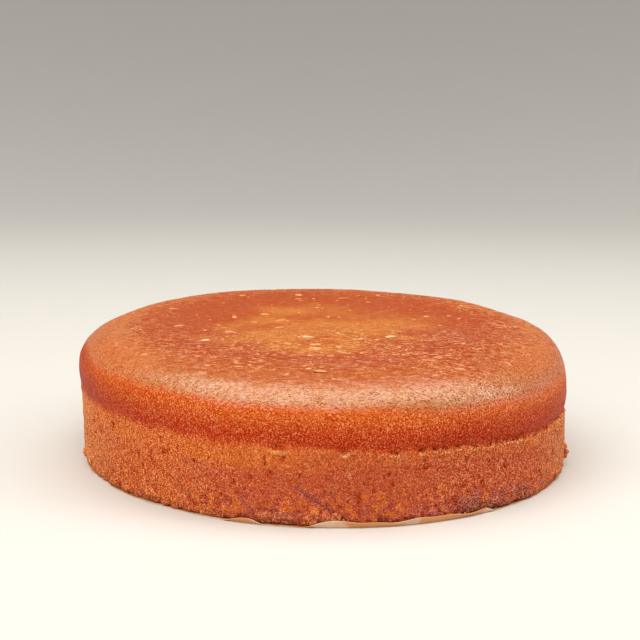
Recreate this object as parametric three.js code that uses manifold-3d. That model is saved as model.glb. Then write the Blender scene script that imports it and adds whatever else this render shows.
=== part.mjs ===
// A whole round butter cake on the disc of baking paper that lined its tin.
// Millimetres, +Z up, standing on Z = 0. Bearing 0 is the front, -Y, and a quarter turn is the right, +X.
import * as THREE from "three";
import { mergeVertices } from "three/addons/utils/BufferGeometryUtils.js";
import Module from "manifold-3d";

// Driving dimensions
const TIN_RADIUS = 100.5; // the tin's wall, which the side of the cake was baked against
const FOOT_RADIUS = 100.1; // the side draws in a little towards its foot
const CAKE_HEIGHT = 54.6;
const SEAM_HEIGHT = 28.5; // torn line where the crown rose above the tin's lining
const PAPER_THICKNESS = 0.4;
const PAPER_GAP = 0.15; // between the paper and the cake's base

// The crown, a superellipse from its widest line over the shoulder to the top
const CROWN_RADIUS = 101.1;
const CROWN_WAIST = 34;
const SHOULDER_RUN = 31;
const SHOULDER_POWER = 3.1;
const DISH_DEPTH = 1.2; // the middle of the top has sunk by this much

// The side, its foot and the seam
const FOOT_ROUND = 1.2;
const SEAM_DEPTH = 1.1;
const SEAM_LIP = 1.3; // height of the ledge below the seam
const SEAM_HOOD = 2.2; // height of the undercut above it
const SEAM_FRONT = 1.3; // the seam is higher in front
const SEAM_RIGHT = -3.7; // and lower on the right
const SEAM_CALM = 50; // height above which the seam's wander no longer moves the crown
const SEAM_WAVES = [
  { waves: 4, size: 0.5, turn: 1 },
  { waves: 9, size: 0.3, turn: 2.5 },
];

// How the cake departs from a true round
const LEAN = -2.4; // the crown stands this far to the left of the foot
const TILT = 0.028; // the top rises towards the back
const OVAL = 0.35;
const OVAL_TURN = 0.9;
const LUMPS = [
  { waves: 3, size: 0.3, turn: 0.7, twist: 0.02 },
  { waves: 5, size: 0.22, turn: 2.1, twist: -0.03 },
  { waves: 11, size: 0.16, turn: 4, twist: 0.05 },
];
const LUMP_INSET = 20; // radius inside which the top has no lumps
const SWELLS = [
  { size: 0.3, across: 19, along: 27, turn: 1.3 },
  { size: 0.2, across: 12, along: -15, turn: 0.4 },
];

// Small relief, with sizes that range from the first value to the second
const SEAM_PIT = { count: 22, stray: 0.6, sunk: 0.66, wide: [1.4, 3.4], deep: [1.2, 2], tall: [0.7, 1.3] };
const SIDE_PIT = { count: 26, margin: 5, wide: [0.7, 1.2], deep: [0.8, 1.3], tall: [0.9, 1.7] };
const FLAKE = { count: 30, long: [1.4, 3.2], narrow: [0.4, 0.75], tip: [0.08, 0.2], thick: 0.7 };
const FLAKE_SIDES = 7;
const FLAKE_SKEW = 0.9; // they lie about level with the front, within this angle in radians
const FLAKE_TAPER = 0.75;
const FLAKE_FIELD = 1.12; // flakes reach this far past the flat top, as a share of its radius
const FLAKE_CROWD = 0.4; // how much more they crowd towards the front
const CRUMB = { count: 34, size: [1, 1.9], stray: 1.2, clear: 1.4, sunk: 0.5 };
const CLUMP = { count: 10, from: -14, to: 2, size: [1.3, 2.1] }; // rough patch at the foot, in front
const SCRAPS = [
  { bearing: 81, height: 5, size: 2.6 },
  { bearing: 79, height: 9.5, size: 1.5 },
];

// The folds that the paper pressed into the side: bearing in degrees and height of both ends
const CREASES = [
  { from: [-6.5, 14], to: [4, 2.6], width: 1.5 },
  { from: [-18.5, 10], to: [-14.2, 2.6], width: 1.2 },
];
const CREASE_STEPS = 6;

// Stretches of the paper's edge that show past the foot, turned up against it, in degrees and millimetres
const LIPS = [
  { middle: 17, half: 28, rise: 2.8 },
  { middle: -17, half: 11, rise: 2.2 },
  { middle: 150, half: 26, rise: 2 },
  { middle: 236, half: 20, rise: 1.5 },
];
const LIP_FADE = 11; // degrees over which a lip dies out
const LIP_CLEAR = 0.6; // share of its reach at which a lip is clear of the foot and starts to rise
const LIP_WIDTH = 0.4; // of the edge's last strip where it lies flat
const PAPER_TUCK = 0.8; // where it doesn't show, the paper ends this far inside the foot
const PAPER_SHOW = 1.2; // and where it shows, this far outside

// How finely the round forms are divided
const CAKE_SIDES = 96;
const PAPER_SIDES = 96;
const FOOT_STEPS = 3;
const SIDE_STEPS = 5;
const SHOULDER_STEPS = 11;

// Multiples of these numbers scatter evenly
const SPREAD_A = 0.7548776662;
const SPREAD_B = 0.569840291;

const QUARTER = Math.PI / 2;
const TURN = 2 * Math.PI;
const CAKE_BASE = PAPER_THICKNESS + PAPER_GAP;
const TOP_EDGE = CROWN_RADIUS - SHOULDER_RUN;

const { clamp, degToRad, euclideanModulo, lerp, radToDeg, smoothstep } = THREE.MathUtils;
const scatter = (i, spread) => (i * spread) % 1;
const pick = ([low, high], share) => lerp(low, high, share);

// A number from 0 to 1 that looks random and is always the same
const chance = (i, salt) => euclideanModulo(Math.sin(i * 12.9898 + salt * 78.233) * 43758.5453, 1);

// Outline of the cake from the middle of its base to the middle of its top, radius by height
function cakeOutline() {
  const points = [];
  const add = (radius, height) => points.push(new THREE.Vector2(radius, height));
  for (const share of [0, 0.5, 0.85]) add(share * FOOT_RADIUS, CAKE_BASE);
  for (let i = 0; i <= FOOT_STEPS; i++) {
    const turn = (i / FOOT_STEPS) * QUARTER;
    add(FOOT_RADIUS - FOOT_ROUND * (1 - Math.sin(turn)), CAKE_BASE + FOOT_ROUND * (1 - Math.cos(turn)));
  }
  for (let i = 1; i <= SIDE_STEPS; i++) {
    const share = i / SIDE_STEPS;
    add(lerp(FOOT_RADIUS, TIN_RADIUS, share), lerp(CAKE_BASE + FOOT_ROUND, SEAM_HEIGHT - SEAM_LIP, share));
  }
  const seamRadius = TIN_RADIUS - SEAM_DEPTH;
  add(seamRadius, SEAM_HEIGHT);
  add(lerp(seamRadius, CROWN_RADIUS, 0.75), SEAM_HEIGHT + SEAM_HOOD);
  for (let i = 0; i <= SHOULDER_STEPS; i++) {
    const turn = (i / SHOULDER_STEPS) * QUARTER;
    add(
      TOP_EDGE + SHOULDER_RUN * Math.cos(turn) ** (2 / SHOULDER_POWER),
      lerp(CROWN_WAIST, CAKE_HEIGHT, Math.sin(turn) ** (2 / SHOULDER_POWER)),
    );
  }
  for (const share of [0.8, 0.55, 0.28, 0]) add(share * TOP_EDGE, topHeight(share * TOP_EDGE));
  return points;
}

// Height of the even top, which is dished
function topHeight(radius) {
  return CAKE_HEIGHT - DISH_DEPTH * Math.max(0, 1 - (radius / TOP_EDGE) ** 2);
}

// Height of the seam at a bearing
function seamHeight(bearing) {
  let height = SEAM_HEIGHT + SEAM_FRONT * Math.cos(bearing) + SEAM_RIGHT * Math.sin(bearing);
  for (const { waves, size, turn } of SEAM_WAVES) height += size * Math.sin(waves * bearing + turn);
  return height;
}

// A point of the even outline, turned to a bearing and moved to where the uneven cake has it
function unevenPoint(radius, height, bearing) {
  let out = OVAL * Math.cos(2 * (bearing - OVAL_TURN));
  for (const { waves, size, turn, twist } of LUMPS) {
    out += size * Math.sin(waves * bearing + turn + twist * height);
  }
  const reach = radius + out * smoothstep(radius, LUMP_INSET, TOP_EDGE);
  const below = (height - CAKE_BASE) / (SEAM_HEIGHT - CAKE_BASE);
  const above = 1 - smoothstep(height, SEAM_HEIGHT, SEAM_CALM);
  const lifted = height + (seamHeight(bearing) - SEAM_HEIGHT) * Math.min(below, above);
  const point = new THREE.Vector3(reach * Math.sin(bearing), -reach * Math.cos(bearing), lifted);
  const rise = (lifted - CAKE_BASE) / (CAKE_HEIGHT - CAKE_BASE);
  const crown = smoothstep(height, CROWN_WAIST, CAKE_HEIGHT);
  for (const swell of SWELLS) {
    point.z += crown * swell.size * Math.sin(point.x / swell.across + point.y / swell.along + swell.turn);
  }
  point.z += TILT * point.y * rise * rise;
  point.x += LEAN * (rise - 0.5);
  return point;
}

// A point of the cake's side at a bearing and an even height, sunk into it
function sidePoint(bearing, height, sunk) {
  const share = clamp((height - CAKE_BASE) / (SEAM_HEIGHT - CAKE_BASE), 0, 1);
  return unevenPoint(lerp(FOOT_RADIUS, TIN_RADIUS, share) - sunk, height, bearing);
}

// A lathed outline whose points are moved by a function of radius, height and bearing
function lathed(outline, sides, place) {
  const geometry = new THREE.LatheGeometry(outline, sides).rotateX(QUARTER);
  const position = geometry.getAttribute("position");
  for (let i = 0; i < position.count; i++) {
    const even = outline[i % outline.length];
    const side = Math.floor(i / outline.length) % sides;
    const moved = place(even.x, even.y, (side / sides) * TURN);
    position.setXYZ(i, moved.x, moved.y, moved.z);
  }
  return geometry;
}

const wasm = await Module();
wasm.setup();

// A closed geometry as a solid for joining and cutting, without the flat triangles at its poles
function solidOf(geometry) {
  const bare = new THREE.BufferGeometry();
  bare.setAttribute("position", geometry.getAttribute("position"));
  bare.setIndex(geometry.index);
  const merged = mergeVertices(bare, 1e-4);
  const corners = merged.index.array;
  const triangles = [];
  for (let i = 0; i < corners.length; i += 3) {
    const triangle = [...corners.slice(i, i + 3)];
    if (new Set(triangle).size === 3) triangles.push(...triangle);
  }
  const vertProperties = new Float32Array(merged.getAttribute("position").array);
  const triVerts = new Uint32Array(triangles);
  return new wasm.Manifold(new wasm.Mesh({ numProp: 3, vertProperties, triVerts }));
}

function geometryOf(solid) {
  const mesh = solid.getMesh();
  const geometry = new THREE.BufferGeometry();
  geometry.setAttribute("position", new THREE.BufferAttribute(new Float32Array(mesh.vertProperties), 3));
  geometry.setIndex(new THREE.BufferAttribute(new Uint32Array(mesh.triVerts), 1));
  geometry.computeVertexNormals();
  return geometry;
}

// A pebble of the given half sizes, set at a point: wide along the side, deep into it and tall up it
function pebble(point, bearing, [wide, deep, tall], detail, roll) {
  const geometry = new THREE.OctahedronGeometry(1, detail);
  geometry.rotateY(roll);
  geometry.scale(wide, deep, tall);
  geometry.rotateZ(bearing);
  geometry.translate(point.x, point.y, point.z);
  return solidOf(geometry);
}

// Torn holes along the seam
function seamPits() {
  return Array.from({ length: SEAM_PIT.count }, (_, i) => {
    const bearing = ((i + SEAM_PIT.stray * scatter(i, SPREAD_A)) / SEAM_PIT.count) * TURN;
    const share = scatter(i + 1, SPREAD_B);
    const sizes = [SEAM_PIT.wide, SEAM_PIT.deep, SEAM_PIT.tall].map((range) => pick(range, share));
    return pebble(sidePoint(bearing, SEAM_HEIGHT, SEAM_PIT.sunk), bearing, sizes, 1, share);
  });
}

// Burst bubbles in the side
function sidePits() {
  return Array.from({ length: SIDE_PIT.count }, (_, i) => {
    const bearing = scatter(i + 1, SPREAD_A) * TURN;
    const height = lerp(SIDE_PIT.margin, SEAM_HEIGHT - SIDE_PIT.margin, scatter(i + 1, SPREAD_B));
    const share = scatter(i + 1, SPREAD_A + SPREAD_B);
    const sizes = [SIDE_PIT.wide, SIDE_PIT.deep, SIDE_PIT.tall].map((range) => pick(range, share));
    return pebble(sidePoint(bearing, height, 0), bearing, sizes, 0, share);
  });
}

// A groove of square section pressed into the side by a fold of the paper
function creaseGroove(crease) {
  const line = Array.from({ length: CREASE_STEPS + 1 }, (_, i) => {
    const share = i / CREASE_STEPS;
    const bearing = degToRad(lerp(crease.from[0], crease.to[0], share));
    return sidePoint(bearing, lerp(crease.from[1], crease.to[1], share), 0);
  });
  const half = crease.width / 2;
  const section = new THREE.Shape().moveTo(half, 0).lineTo(0, half).lineTo(-half, 0).lineTo(0, -half);
  const extrudePath = new THREE.CatmullRomCurve3(line);
  const options = { steps: CREASE_STEPS, bevelEnabled: false, extrudePath };
  return solidOf(new THREE.ExtrudeGeometry(section, options));
}

// A crumb that clings to the foot, above any paper that stands in front of it
function footCrumb(bearing, size, stray) {
  const height = paperRise(bearing) + CRUMB.clear + size + CRUMB.stray * stray;
  return pebble(sidePoint(bearing, height, CRUMB.sunk), bearing, [size * 1.2, size, size], 0, size);
}

// Crumbs all round the foot, and more of them in the rough patch between the two folds
function footCrumbs() {
  const crumbs = [];
  for (let i = 0; i < CRUMB.count; i++) {
    const bearing = ((i + scatter(i, SPREAD_B)) / CRUMB.count) * TURN;
    crumbs.push(footCrumb(bearing, pick(CRUMB.size, scatter(i + 3, SPREAD_A)), scatter(i, SPREAD_A)));
  }
  for (let i = 0; i < CLUMP.count; i++) {
    const bearing = degToRad(lerp(CLUMP.from, CLUMP.to, (i + 0.5) / CLUMP.count));
    crumbs.push(footCrumb(bearing, pick(CLUMP.size, scatter(i + 2, SPREAD_A)), scatter(i, SPREAD_B)));
  }
  return crumbs;
}

// Scraps of crust that stand out from the foot on the right
function footScraps() {
  return SCRAPS.map(({ bearing, height, size }) => {
    const turn = degToRad(bearing);
    return pebble(sidePoint(turn, height, 0), turn, [size, size * 0.9, size], 1, size);
  });
}

// Thin flakes of skin that stand up from the top crust
function topFlakes() {
  return Array.from({ length: FLAKE.count }, (_, i) => {
    const aside = 2 * chance(i, 13) - 1;
    const bearing = Math.PI * aside * Math.abs(aside) ** FLAKE_CROWD;
    const radius = TOP_EDGE * FLAKE_FIELD * Math.sqrt(chance(i, 12));
    const long = pick(FLAKE.long, chance(i, 11) ** 2);
    const flake = new THREE.CylinderGeometry(long * FLAKE_TAPER, long, FLAKE.thick, FLAKE_SIDES);
    flake.rotateX(QUARTER).scale(1, pick(FLAKE.narrow, chance(i, 14)), 1);
    flake.rotateX(pick(FLAKE.tip, scatter(i, SPREAD_A))).rotateZ(FLAKE_SKEW * (chance(i, 15) - 0.5));
    const point = unevenPoint(radius, topHeight(radius), bearing);
    flake.translate(point.x, point.y, point.z);
    return solidOf(flake);
  });
}

// How much of the paper's edge shows at a bearing, from 0 to 1, and how high it is turned up
function paperLip(bearing) {
  let show = 0;
  let rise = 0;
  for (const lip of LIPS) {
    const away = Math.abs(euclideanModulo(radToDeg(bearing) - lip.middle + 180, 360) - 180);
    const here = 1 - smoothstep(away, lip.half - LIP_FADE, lip.half);
    show += here;
    rise += here * lip.rise;
  }
  return { show, rise };
}

// Height of the paper's rippled edge, which stays flat until it is clear of the foot
function paperRise(bearing) {
  const { show, rise } = paperLip(bearing);
  const ripple = 0.75 + 0.17 * Math.sin(19 * bearing + 0.6) + 0.08 * Math.sin(43 * bearing);
  return rise * ripple * smoothstep(show, LIP_CLEAR, 1);
}

// Round disc of paper, flat under the cake, with its edge turned up where it shows
function bakingPaper() {
  const inner = [0, 0.6, 0.95].map((share) => ({ share, lip: 0 }));
  const rim = [0, 0.5, 1].map((lip) => ({ share: 1, lip }));
  const under = [...inner, ...rim].map((station) => ({ ...station, upper: 0 }));
  const over = under.map((station) => ({ ...station, upper: 1 })).reverse();
  const stations = [...under, ...over];
  const outline = stations.map((_, i) => new THREE.Vector2(i, 0));
  return lathed(outline, PAPER_SIDES, (index, _, bearing) => {
    const { share, lip, upper } = stations[index];
    const foot = sidePoint(bearing, CAKE_BASE + FOOT_ROUND, 0);
    const heading = Math.atan2(foot.x, -foot.y);
    const edge = Math.hypot(foot.x, foot.y);
    const past = lerp(LIP_WIDTH * lip - PAPER_TUCK, PAPER_SHOW * lip, paperLip(bearing).show);
    const radius = share < 1 ? share * edge : edge + past;
    const height = lip * paperRise(bearing) + upper * PAPER_THICKNESS;
    return new THREE.Vector3(radius * Math.sin(heading), -radius * Math.cos(heading), height);
  });
}

// The cake's body with its pits and folds cut out, and its crumbs, scraps and flakes joined on
function butterCake() {
  let body = solidOf(lathed(cakeOutline(), CAKE_SIDES, unevenPoint));
  for (const cut of [...seamPits(), ...sidePits(), ...CREASES.map(creaseGroove)]) body = body.subtract(cut);
  for (const bit of [...footCrumbs(), ...footScraps(), ...topFlakes()]) body = body.add(bit);
  return geometryOf(body);
}

const crust = new THREE.MeshStandardMaterial({ color: 0xc8672f, roughness: 0.55, metalness: 0 });
const cake = new THREE.Mesh(butterCake(), crust);
cake.name = "cake";

const greasedPaper = new THREE.MeshStandardMaterial({ color: 0xb98a5e, roughness: 0.5, metalness: 0 });
const paper = new THREE.Mesh(bakingPaper(), greasedPaper);
paper.name = "baking_paper";

const cakeOnPaper = new THREE.Group();
cakeOnPaper.add(paper, cake);

export default cakeOnPaper;
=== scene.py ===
"""A butter cake on its baking paper, as a Blender add-on that is run as a script."""
import math

import bpy
import numpy as np
from bpy.props import FloatProperty, FloatVectorProperty, IntProperty, PointerProperty
from mathutils import Matrix, Vector, noise


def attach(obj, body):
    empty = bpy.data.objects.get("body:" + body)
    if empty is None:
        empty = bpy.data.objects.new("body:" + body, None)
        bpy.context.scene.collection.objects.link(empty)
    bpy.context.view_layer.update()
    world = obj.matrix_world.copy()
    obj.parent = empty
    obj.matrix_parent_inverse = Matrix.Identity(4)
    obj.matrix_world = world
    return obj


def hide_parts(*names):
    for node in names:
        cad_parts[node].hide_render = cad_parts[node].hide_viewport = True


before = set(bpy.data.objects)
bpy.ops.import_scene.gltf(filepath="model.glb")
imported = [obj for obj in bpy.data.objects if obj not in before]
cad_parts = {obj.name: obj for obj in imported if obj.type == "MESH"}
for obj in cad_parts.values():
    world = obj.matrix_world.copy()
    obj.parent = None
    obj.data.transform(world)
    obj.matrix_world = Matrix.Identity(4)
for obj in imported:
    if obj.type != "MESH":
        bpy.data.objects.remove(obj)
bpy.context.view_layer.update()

bl_info = {
    "name": "Butter Cake",
    "version": (1, 0, 0),
    "blender": (4, 5, 0),
    "location": "3D View > Sidebar > Butter Cake",
    "description": "Makes a round butter cake with a browned crown and a crumbly side, on its baking paper",
    "category": "Add Mesh",
}

MM = 0.001
TURN = 2 * math.pi

# Steps that spread places evenly, without rows, and that keep layers of lumps apart
SPREAD_A = 0.7548776662
SPREAD_B = 0.569840291
SEED_STEPS = (7.31, 3.17, 5.53)

# Waves of the seam, as in the cake's solid: how many go round, their height and their turn
SEAM_WAVES = ((4, 0.5 * MM, 1.0), (9, 0.3 * MM, 2.5))

# Swellings of the side and crown, as in the solid: how many go round, their height, turn and twist
SWELLINGS = ((3, 0.3 * MM, 0.7, 20.0), (5, 0.22 * MM, 2.1, -30.0), (11, 0.16 * MM, 4.0, 50.0))
SWELLING_INSET = 20 * MM
OVAL_TURN = 0.9

# Swells of the top, as in the solid: height, length from left to right and from front to back, and turn
SWELLS = ((0.3 * MM, 19 * MM, 27 * MM, 1.3), (0.2 * MM, 12 * MM, -15 * MM, 0.4))

# The seam: width of its groove, height where its waves have died out, and where below it the side widens
SEAM_WIDTH = 1.3 * MM
SEAM_CALM = 50 * MM
WIDENING_START = 1 * MM

# Rings of the mesh under the base, as shares of its radius
BASE_RINGS = (0.12, 0.3, 0.6, 0.85)
BASE_LAST_RING = 0.97

# How far past the seam the side's finer mesh goes, the fewest sides of a ring and the points of each curve
SIDE_MESH_PAST_SEAM = 2 * MM
FEWEST_SIDES = 20
OUTLINE_STEPS = 200

# Parts of the cake, in degrees from the front to their own side: where they begin, are full, fade and end
LEFT_PART = (4, 40, 100, 165)
RIGHT_PART = (-20, 20, 100, 165)
TORN_PART = (24, 34, 66, 84)
LOWERED_PART = (8, 28, 90, 150)
LIVELY_PART = (14, 34, 90, 150)

# Parts on one side or on both, in degrees from the front: where they begin and are full. The first, second
# and fourth hold painted shade above the seam, the third stronger painted glints and shade of the grain, and
# the fifth a painted sheen on the crumb
PAINTED_SHADE_RIGHT = (8, 30)
PAINTED_SHADE_LEFT = (50, 80)
GRITTY_SIDES = (12, 40)
PAINTED_SHADE_SIDES = (22, 50)
PAINTED_SHEEN_SIDES = (48, 78)
RAISED_SIDES = (55, 82)
DULL_SIDES = (75, 120)
TORN_BACK = (95, 120)
BACK = (100, 160)

# Parts round a bearing, in degrees: their middle, and how far from it they fade and end
HEALED_MIDDLE = -62
HEALED_REACH = (40, 68)
# The painted highlight tint of the shoulder lies round this bearing
EDGE_MIDDLE = 4
EDGE_REACH = (32, 66)

# The crown's colours, from and to which share of the way from the seam to the middle of the top
CROWN_COLOURS = (
    ("deep", 0.0, 0.04),
    ("skin", 0.105, 0.135),
    ("crest", 0.17, 0.29),
    ("ring", 0.42, 1.0),
)

# Zones of the crown, as such shares: where they begin and are full, fade and end
SHIFTED_ZONE = (0.04, 0.12, 0.24, 0.4)
# The painted highlight tint in front and the painted sheen at both sides lie in these zones
EDGE_ZONE = (0.13, 0.165, 0.2, 0.255)
BRIM_ZONE = (0.13, 0.17, 0.24, 0.36)

# Zones that go on to the middle of the top: where they begin and are full
GLOSSY_ZONE = (0.112, 0.168)
SHOULDER_ZONE = (0.115, 0.15)
TOP_ZONE = (0.2, 0.28)
DULL_ZONE = (0.24, 0.4)
FLAT_ZONE = (0.3, 0.5)

# Zones of painted shade that go up from the seam: where they fade and end
PAINTED_SHADE_LOW_ZONE = (0.03, 0.09)
PAINTED_SHADE_WIDE_ZONE = (0.1, 0.135)

# How much nearer the seam the zones lie in these parts, and how much of that their colours follow
RIGHT_SHIFT = 0.034
LEFT_SHIFT = -0.012
SIDES_SHIFT = -0.02
COLOUR_SHIFT = 0.6

# How strong the looks of the crown are: gloss, painted shade, and grain as painted glints and shade, the
# last from the front to the sides
GLOSS_RAGS = 0.012
GLOSS_UNEVEN = 0.3
TOP_DULLING = 0.75
BACK_DULLING = 0.5
PAINTED_SHADE_SIDES_SHARE = 0.75
PAINTED_SHADE_LEFT_SHARE = 0.9
SKIN_GRIT = (1.0, 1.22)
LIVELY_GRIT = 0.35

# How strong the looks of the side are: grain as painted glints and shade from the front to the sides, a
# painted sheen at both sides, paleness, gold and damp, with painted shade in the notches
SIDE_GRIT = (0.75, 1.6)
PAINTED_SHEEN_SHARE = 0.42
CLOT_PALENESS = 0.2 / MM
GOLDEN_LEFT = 0.55
GOLDEN_BELOW_SEAM = (0.8, 0.3)
GOLDEN_RAGS_SHARE = 0.5
DAMP_ROUND = (0.06, 1.0)
DAMP_SHARE = 0.62
# Painted shade in the notches of the foot, given as damp crumb
NOTCH_DAMP = 0.4
BRUISE_SHARE = 2.2

# Layers of lumps in the crust: how far they stand out, their size and their seed
RAGGED_SEAM = ((0.9 * MM, 5 * MM, 1), (0.5 * MM, 1.9 * MM, 17))
SIDE_LUMPS = ((0.22 * MM, 9 * MM, 2), (0.24 * MM, 3.1 * MM, 3), (0.2 * MM, 1.8 * MM, 4))
SKIN_LUMPS = ((0.16 * MM, 13 * MM, 5), (0.12 * MM, 5.2 * MM, 10), (0.1 * MM, 2.6 * MM, 6))
WRINKLES = ((0.36 * MM, 2.5 * MM, 7),)
FOOT_LUMPS = ((0.3 * MM, 2.4 * MM, 11),)
TEAR_WANDER = ((1.1 * MM, 7 * MM, 13), (1.0 * MM, 2.3 * MM, 22))

# Layers of lumps that vary the crust from place to place: how strong they are, their size and their seed
FINE_LUMPS = ((1.0, 1.8 * MM, 4),)
KNOB_LUMPS = ((1.0, 2.5 * MM, 24),)
NOTCH_LUMPS = ((1.0, 3.4 * MM, 14),)
TEAR_LUMPS = ((1.0, 6 * MM, 8), (0.5, 2.2 * MM, 18))
LEDGE_LUMPS = ((1.0, 4 * MM, 15), (0.6, 1.9 * MM, 19))
BRUISE_LUMPS = ((1.0, 3.5 * MM, 21), (0.4, 1.6 * MM, 23))
SHINE_LUMPS = ((1.0, 5.5 * MM, 25), (0.5, 2.4 * MM, 26))
GRIT_LUMPS = ((0.35, 7 * MM, 20),)
PALE_LUMPS = ((0.5, 14 * MM, 16),)

# How lumps are drawn out: below 1, longer from left to right, from front to back or upwards
WRINKLE_STRETCH = (0.3, 1, 1)
NOTCH_STRETCH = (1, 1, 0.6)
TEAR_STRETCH = (1, 1, 0.3)
UPRIGHT = (1, 1, 0)

# How far the forms of the crust are sunk or stand out
KNOB_HEIGHT = 0.5 * MM
NOTCH_DEPTH = 0.6 * MM
TEAR_DEPTH = 1.0 * MM
LEDGE_HEIGHT = 0.7 * MM
HEALED_FILL = 0.4 * MM

# How far the change from crumb to skin reaches below and above the seam, where it is torn and where healed
CHANGE_BELOW = (1.8 * MM, 4.2 * MM)
CHANGE_ABOVE = (0.8 * MM, 2.6 * MM)

# From and to which value of their lumps these grow
NOTCHED = (0.1, 0.55)
TORN_OPEN = (-0.1, 0.25)
SHELVED = (0.05, 0.4)
BLOTTED = (-0.35, 0.3)

# Heights at which what lies along the foot fades and ends
FOOT_BAND = (1.5 * MM, 6 * MM)
KNOB_BAND = (5 * MM, 19 * MM)
DAMP_BAND = (1 * MM, 16 * MM)
DAMP_PATCH_BAND = (3 * MM, 10 * MM)
BRUISE_BAND = (2.5 * MM, 12 * MM)

# Heights at which the golden crumb begins and is full, as a soft band and as rags along the seam
GOLDEN_BAND = (12 * MM, 25 * MM)
GOLDEN_RAGS = (18 * MM, 25 * MM)

# Height from which the crown counts as flat, where its front begins and is full, and the base's smooth rim
FLAT_FROM = 48 * MM
FRONT_BAND = (-20 * MM, 45 * MM)
BASE_FADE = 6 * MM

# Damp patches of the foot: bearing in degrees and half width in radians
DAMP_FRONT = (6, 0.55)
DAMP_PATCH = (36, 0.2)
BRUISE = (38, 0.26)

# Folds that the paper pressed into the side: bearing in degrees and height of both ends, width and depth
FOLDS = (
    ((-6.5, 14 * MM), (4.0, 2.6 * MM), 1.0 * MM, 0.8 * MM),
    ((-18.5, 10 * MM), (-14.2, 2.6 * MM), 0.8 * MM, 0.6 * MM),
    ((-13.6, 4.8 * MM), (-4.6, 4.6 * MM), 0.6 * MM, 0.8 * MM),
)

# Where along its length a fold begins and is full
FOLD_START = (-0.2, 0.25)

# Where the seam has torn open in front: bearing in degrees, half width and half height
SEAM_TEARS = (
    (-9.2, 2.8 * MM, 1.2 * MM),
    (4.4, 1.7 * MM, 1.0 * MM),
    (14.6, 2.2 * MM, 0.8 * MM),
    (20.2, 1.5 * MM, 0.9 * MM),
    (23.4, 1.2 * MM, 0.7 * MM),
    (26.0, 1.6 * MM, 0.9 * MM),
    (29.2, 1.3 * MM, 0.8 * MM),
)

# The row of tears on the right: how many, from and to which bearing, half widths and half heights
RIGHT_TEARS = 16
RIGHT_TEAR_SPAN = (32, 76)
RIGHT_TEAR_WIDE = (0.7 * MM, 1.9 * MM)
RIGHT_TEAR_TALL = (0.55 * MM, 0.95 * MM)

# Tears and pale ledges along the seam: how far below it they lie, their half height and their strength
TEAR_LINE = (0.3 * MM, 0.9 * MM)
TEAR_STRENGTH = (0.12, 1.0)
TEAR_RIGHT = 0.6
LEDGE_LINE = (1.9 * MM, 0.75 * MM)
LEDGE_STRENGTH = (0.3, 0.75)

# The palest patch of the top, from left to right and from front to back, and where it fades
PALE_PLACE = (-3 * MM, -9 * MM)
PALE_REACH = (51 * MM, 54 * MM)
PALE_FADE = (0.35, 1.15)

# Pits in the side: how many, half widths, lowest height, room below the seam, height by width, and depth
LARGE_PITS = (26, (0.7 * MM, 1.2 * MM), 5 * MM, 5 * MM, 1.35, 1.2 * MM)
SMALL_PITS = (190, (0.55 * MM, 1.05 * MM), 2.5 * MM, 4 * MM, 1.6, 0.9 * MM)

# How much the small pits crowd towards the foot
SMALL_PITS_LOW = 1.5

# Crumbs that have grown to the foot, round it and in front: how many, sizes, bearings in degrees and heights
FOOT_CLOTS = 34
FOOT_CLOT_SIZES = (1.0 * MM, 1.9 * MM)
FRONT_CLOTS = 10
FRONT_CLOT_SIZES = (1.3 * MM, 2.1 * MM)
FRONT_CLOT_SPAN = (-14, 2)
CLOT_FOOT = 1.6 * MM
CLOT_SPREAD = 1.2 * MM

# A clot's width by its height, and how far it stands out by its size
CLOT_WIDTH = 1.2
CLOT_RELIEF = 0.75

# How ragged the outlines of clots, pits and tears are
CLOT_RAGS = 0.3
PIT_RAGS = 0.25
TEAR_RAGS = 0.4

# Where the walls of pits, tears and ledges begin and end, as shares of their reach
PIT_WALL = (0.3, 0.75)
TEAR_WALL = (0.6, 1.2)
LEDGE_WALL = (0.5, 1.3)

# The ledge below a tear: how wide and tall it is and how far down it lies, by the tear's size
LEDGE_WIDTH = 1.2
LEDGE_TALLNESS = 0.7
LEDGE_DROP = 2.4

# Flakes of skin: sizes of large and small ones, slimness, swing of their headings, outline and thickness
LARGE_FLAKE_SIZES = (1.3 * MM, 3.0 * MM)
SMALL_FLAKE_SIZES = (0.4 * MM, 1.1 * MM)
FLAKE_SLIMNESS = (0.4, 0.75)
FLAKE_SWING = 0.9
FLAKE_UNEVEN = 0.8
FLAKE_LOBES = 1.4
FLAKE_CURL = 0.1
FLAKE_THICKNESS = 0.16 * MM
FLAKE_THICKENING = 0.06
FLAKE_SUNK = 0.3 * MM

# Loose crumbs round the foot and in the rough patch in front: sizes, heights and bearings in degrees
CRUMB_SIZES = (0.3 * MM, 0.75 * MM)
CRUMB_HEIGHTS = (1.4 * MM, 4.5 * MM)
PATCH_SIZES = (0.35 * MM, 0.95 * MM)
PATCH_HEIGHTS = (1.2 * MM, 5 * MM)
PATCH_SPAN = (-15, 4)

# Scraps at the right of the foot: bearing in degrees, height and size
SCRAPS = (
    (81, 5 * MM, 2.0 * MM),
    (79, 9.5 * MM, 1.3 * MM),
    (80, 7.4 * MM, 1.1 * MM),
)

# A crumb's shape: points in each ring, how uneven it is, its lobes and how far it stands off the side
BALL_RINGS = (1, 8, 13, 13, 8, 1)
BALL_UNEVEN = 0.6
BALL_LOBES = 1.6
BALL_SEEDS = 900
BALL_OFF = 0.1

# Stretches of the paper's edge that show past the foot: middle and half width in degrees, and rise
LIPS = (
    (17.0, 28.0, 2.8 * MM),
    (-17.0, 11.0, 2.2 * MM),
    (150.0, 26.0, 2.0 * MM),
    (236.0, 20.0, 1.5 * MM),
)

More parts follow.
